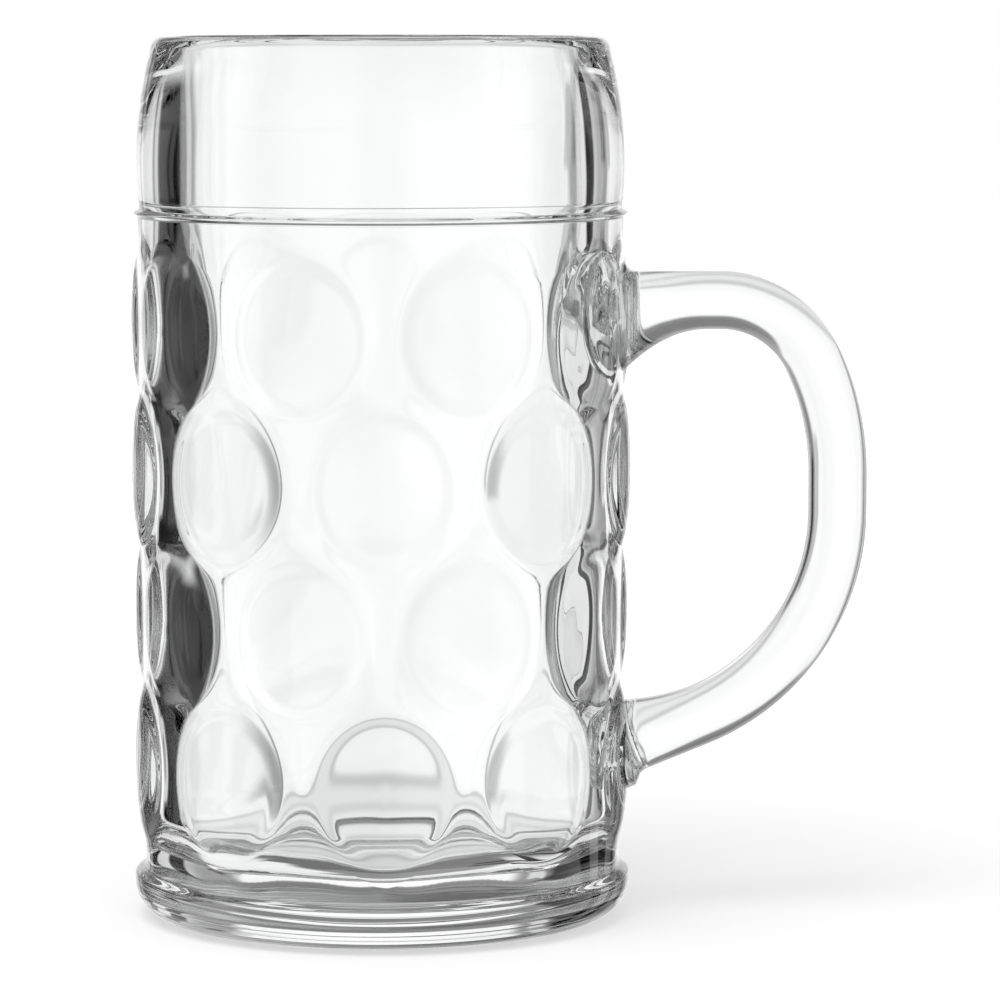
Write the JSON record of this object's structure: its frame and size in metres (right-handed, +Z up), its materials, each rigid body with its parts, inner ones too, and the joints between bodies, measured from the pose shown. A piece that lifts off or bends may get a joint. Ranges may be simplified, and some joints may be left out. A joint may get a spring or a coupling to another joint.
{
  "type": "beer mug",
  "caption": "Tall thick-walled glass beer mug with a barrel-shaped rim band, staggered rows of round raised eyes, a heavy foot and a glass loop handle.",
  "frame": {"origin": "on the table, under the middle of the whole mug with its handle; the vessel's axis is 26.65 mm towards -X", "axes": "+Z up along the vessel's axis, +X from the vessel towards the handle, -Y towards the viewer of the picture"},
  "size_m": [0.168, 0.1148, 0.2],
  "materials": {
    "body_glass": "clear colourless pressed glass, fire-polished",
    "handle_glass": "clear colourless glass, fire-polished"
  },
  "bodies": {
    "root": {"mug_body": "body_glass", "handle": "handle_glass"}
  },
  "joints": []
}
